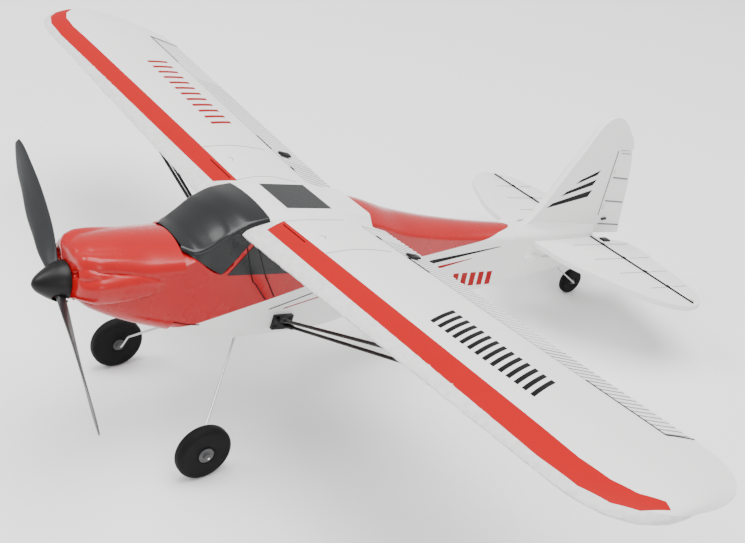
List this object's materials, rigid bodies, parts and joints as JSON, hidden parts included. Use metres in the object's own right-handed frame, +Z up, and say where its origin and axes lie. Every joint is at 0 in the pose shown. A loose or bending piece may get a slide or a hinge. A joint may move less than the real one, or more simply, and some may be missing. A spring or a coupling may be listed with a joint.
{
  "type": "foam model aeroplane",
  "caption": "Small high-wing foam model aeroplane with a tractor propeller, taildragger wire landing gear, braced wings and hinged control surfaces.",
  "frame": {"origin": "centre of the bounding box in plan, on the ground under the three wheels", "axes": "+X to port along the span, +Y toward the tail, +Z up"},
  "size_m": [0.4984, 0.3766, 0.1321],
  "materials": {
    "white_foam": "smooth moulded foam",
    "red_film": "gloss red",
    "dark_glazing": "gloss dark grey",
    "black_plastic": "satin black",
    "grey_plastic": "satin grey",
    "foam_tyre": "matt black",
    "steel_wire": "drawn",
    "nylon": "natural",
    "brass": "turned",
    "motor_can": "plated",
    "carbon": "satin carbon",
    "servo_blue": "satin",
    "battery_wrap": "shrink wrap",
    "circuit_board": "solder mask",
    "plywood": "raw"
  },
  "bodies": {
    "airframe": {"fuselage_left": "white_foam", "fuselage_right": "white_foam", "nose_cowl": "red_film", "windshield": "dark_glazing", "side_windows": "dark_glazing", "roof_window": "dark_glazing", "cabin_roof": "white_foam", "wing_left": "white_foam", "wing_right": "white_foam", "wing_spar": "carbon", "aileron_servos": "servo_blue", "fin": "white_foam", "stabilizer": "white_foam", "hinge_rods": "steel_wire", "tail_servos": "servo_blue", "rod_fairings": "white_foam", "bulkheads": "plywood", "shaft_bearings": "brass", "gearbox_frame": "black_plastic", "motor": "motor_can", "battery": "battery_wrap", "battery_tray": "black_plastic", "flight_controller": "circuit_board", "gear_mount": "black_plastic", "main_gear_wire": "steel_wire", "wheel_collars": "grey_plastic", "tail_gear_wire": "steel_wire", "wing_struts": "carbon", "strut_sockets": "black_plastic", "strut_brackets": "black_plastic"},
    "propeller_unit": {"spinner": "black_plastic", "propeller": "grey_plastic", "prop_adapter": "grey_plastic", "prop_shaft": "steel_wire", "spur_gear": "nylon"},
    "motor_rotor": {"motor_pinion": "brass"},
    "wheel_left": {"tyre_left": "foam_tyre", "wheel_hub_left": "grey_plastic"},
    "wheel_right": {"tyre_right": "foam_tyre", "wheel_hub_right": "grey_plastic"},
    "tail_wheel": {"tail_tyre": "foam_tyre", "tail_hub": "grey_plastic"},
    "aileron_left": {"aileron_left": "white_foam", "aileron_horn_left": "black_plastic"},
    "aileron_right": {"aileron_right": "white_foam", "aileron_horn_right": "black_plastic"},
    "aileron_arm_left": {"aileron_servo_arm_left": "nylon"},
    "aileron_arm_right": {"aileron_servo_arm_right": "nylon"},
    "aileron_rod_left": {"aileron_push_rod_left": "steel_wire"},
    "aileron_rod_right": {"aileron_push_rod_right": "steel_wire"},
    "rudder": {"rudder": "white_foam", "rudder_horn": "black_plastic"},
    "rudder_arm": {"rudder_servo_arm": "nylon"},
    "rudder_rod": {"rudder_push_rod": "steel_wire"},
    "elevator": {"elevator": "white_foam", "elevator_horn": "black_plastic"},
    "elevator_arm": {"elevator_servo_arm": "nylon"},
    "elevator_rod": {"elevator_push_rod": "steel_wire"},
    "hatch": {"battery_hatch": "red_film"}
  },
  "joints": [
    {"name": "propeller_spin", "type": "hinge", "parent": "airframe", "child": "propeller_unit", "pos_m": [0, -0.17384, 0.08973], "axis": [0, -0.9934, 0.1147], "continuous": true},
    {"name": "motor_spin", "type": "hinge", "parent": "airframe", "child": "motor_rotor", "pos_m": [0, -0.17292, 0.09767], "axis": [0, -0.9934, 0.1147], "continuous": true},
    {"name": "wheel_left_spin", "type": "hinge", "parent": "airframe", "child": "wheel_left", "pos_m": [0.048, -0.12837, 0.01375], "axis": [1, 0, 0], "continuous": true},
    {"name": "wheel_right_spin", "type": "hinge", "parent": "airframe", "child": "wheel_right", "pos_m": [-0.048, -0.12837, 0.01375], "axis": [1, 0, 0], "continuous": true},
    {"name": "tail_wheel_spin", "type": "hinge", "parent": "airframe", "child": "tail_wheel", "pos_m": [0, 0.15642, 0.00825], "axis": [1, 0, 0], "continuous": true},
    {"name": "aileron_left_hinge", "type": "hinge", "parent": "airframe", "child": "aileron_left", "pos_m": [0.02418, -0.03493, 0.0981], "axis": [0.9982, 0.0121, 0.059], "range_deg": [-20, 20]},
    {"name": "aileron_right_hinge", "type": "hinge", "parent": "airframe", "child": "aileron_right", "pos_m": [-0.02418, -0.03493, 0.0981], "axis": [0.9982, -0.0121, -0.059], "range_deg": [-20, 20]},
    {"name": "aileron_arm_left_turn", "type": "hinge", "parent": "airframe", "child": "aileron_arm_left", "pos_m": [0.05478, -0.0553, 0.10329], "axis": [0.9982, 0.0121, 0.059], "range_deg": [-20, 20]},
    {"name": "aileron_arm_right_turn", "type": "hinge", "parent": "airframe", "child": "aileron_arm_right", "pos_m": [-0.05478, -0.0553, 0.10329], "axis": [0.9982, -0.0121, -0.059], "range_deg": [-20, 20]},
    {"name": "aileron_rod_left_pivot", "type": "hinge", "parent": "aileron_arm_left", "child": "aileron_rod_left", "pos_m": [0.0552, -0.05671, 0.09645], "axis": [0.9982, 0.0121, 0.059], "range_deg": [-20, 20]},
    {"name": "aileron_rod_right_pivot", "type": "hinge", "parent": "aileron_arm_right", "child": "aileron_rod_right", "pos_m": [-0.0552, -0.05671, 0.09645], "axis": [0.9982, -0.0121, -0.059], "range_deg": [-20, 20]},
    {"name": "rudder_hinge", "type": "hinge", "parent": "airframe", "child": "rudder", "pos_m": [0, 0.16604, 0.05075], "axis": [0, 0.0861, 0.9963], "range_deg": [-25, 25]},
    {"name": "rudder_arm_turn", "type": "hinge", "parent": "airframe", "child": "rudder_arm", "pos_m": [0, -0.0346, 0.06486], "axis": [0, 0.0861, 0.9963], "range_deg": [-25, 25]},
    {"name": "rudder_rod_pivot", "type": "hinge", "parent": "rudder_arm", "child": "rudder_rod", "pos_m": [-0.009, -0.0346, 0.06486], "axis": [0, 0.0861, 0.9963], "range_deg": [-25, 25]},
    {"name": "elevator_hinge", "type": "hinge", "parent": "airframe", "child": "elevator", "pos_m": [0, 0.16187, 0.0398], "axis": [1, 0, 0], "range_deg": [-20, 20]},
    {"name": "elevator_arm_turn", "type": "hinge", "parent": "airframe", "child": "elevator_arm", "pos_m": [0.0059, -0.03161, 0.07946], "axis": [1, 0, 0], "range_deg": [-20, 20]},
    {"name": "elevator_rod_pivot", "type": "hinge", "parent": "elevator_arm", "child": "elevator_rod", "pos_m": [0.0059, -0.03352, 0.07015], "axis": [1, 0, 0], "range_deg": [-20, 20]},
    {"name": "battery_hatch_hinge", "type": "hinge", "parent": "airframe", "child": "hatch", "pos_m": [0, -0.13673, 0.06385], "axis": [1, 0, 0], "range_deg": [0, 100]}
  ],
  "couplings": [
    {"joint": "motor_spin", "follows": "propeller_spin", "ratio": -4},
    {"joint": "aileron_right_hinge", "follows": "aileron_left_hinge", "ratio": -1},
    {"joint": "aileron_arm_left_turn", "follows": "aileron_left_hinge", "ratio": 1},
    {"joint": "aileron_arm_right_turn", "follows": "aileron_left_hinge", "ratio": -1},
    {"joint": "aileron_rod_left_pivot", "follows": "aileron_left_hinge", "ratio": -1},
    {"joint": "aileron_rod_right_pivot", "follows": "aileron_left_hinge", "ratio": 1},
    {"joint": "rudder_arm_turn", "follows": "rudder_hinge", "ratio": 1},
    {"joint": "rudder_rod_pivot", "follows": "rudder_hinge", "ratio": -1},
    {"joint": "elevator_arm_turn", "follows": "elevator_hinge", "ratio": 1},
    {"joint": "elevator_rod_pivot", "follows": "elevator_hinge", "ratio": -1}
  ]
}
